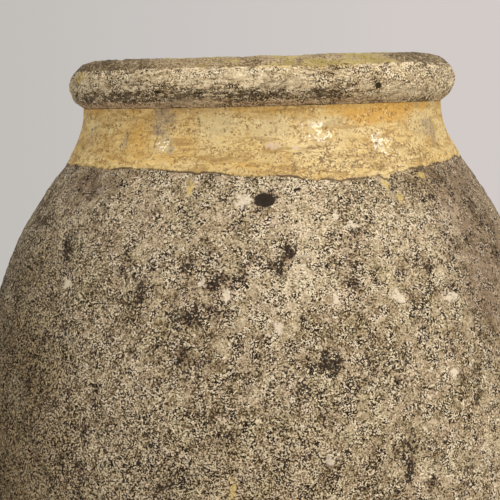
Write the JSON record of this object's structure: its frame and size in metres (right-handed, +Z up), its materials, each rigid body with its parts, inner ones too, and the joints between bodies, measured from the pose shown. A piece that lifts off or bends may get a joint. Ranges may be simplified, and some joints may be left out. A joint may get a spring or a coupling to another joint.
{
  "type": "olive jar",
  "caption": "Large egg-shaped storage jar of fired clay with a glazed collar, a rolled lip, a wide round throat and a flat foot.",
  "frame": {"origin": "centre of the jar's underside, on the surface it stands on", "axes": "+Z up along the jar's axis, -Y the side seen in the picture"},
  "size_m": [0.652, 0.6518, 0.92],
  "materials": {
    "terracotta": "matt fired clay",
    "weathered_terracotta": "matt fired clay, weathered and grown with lichen",
    "lip_terracotta": "matt fired clay, worn smooth, speckled with lichen",
    "yellow_glaze": "glossy lead-type glaze, mottled and pitted",
    "worn_glaze": "satin glaze, worn along the crown",
    "inside_glaze": "glossy glaze over rope marks"
  },
  "bodies": {
    "root": {"base_disc": "terracotta", "foot_ring": "weathered_terracotta", "corner_coil": "terracotta", "lower_wall": "weathered_terracotta", "belly_wall": "weathered_terracotta", "shoulder_wall": "weathered_terracotta", "collar": "weathered_terracotta", "rolled_lip": "lip_terracotta", "collar_glaze": "yellow_glaze", "crown_glaze": "worn_glaze", "inside_glaze": "inside_glaze"}
  },
  "joints": []
}
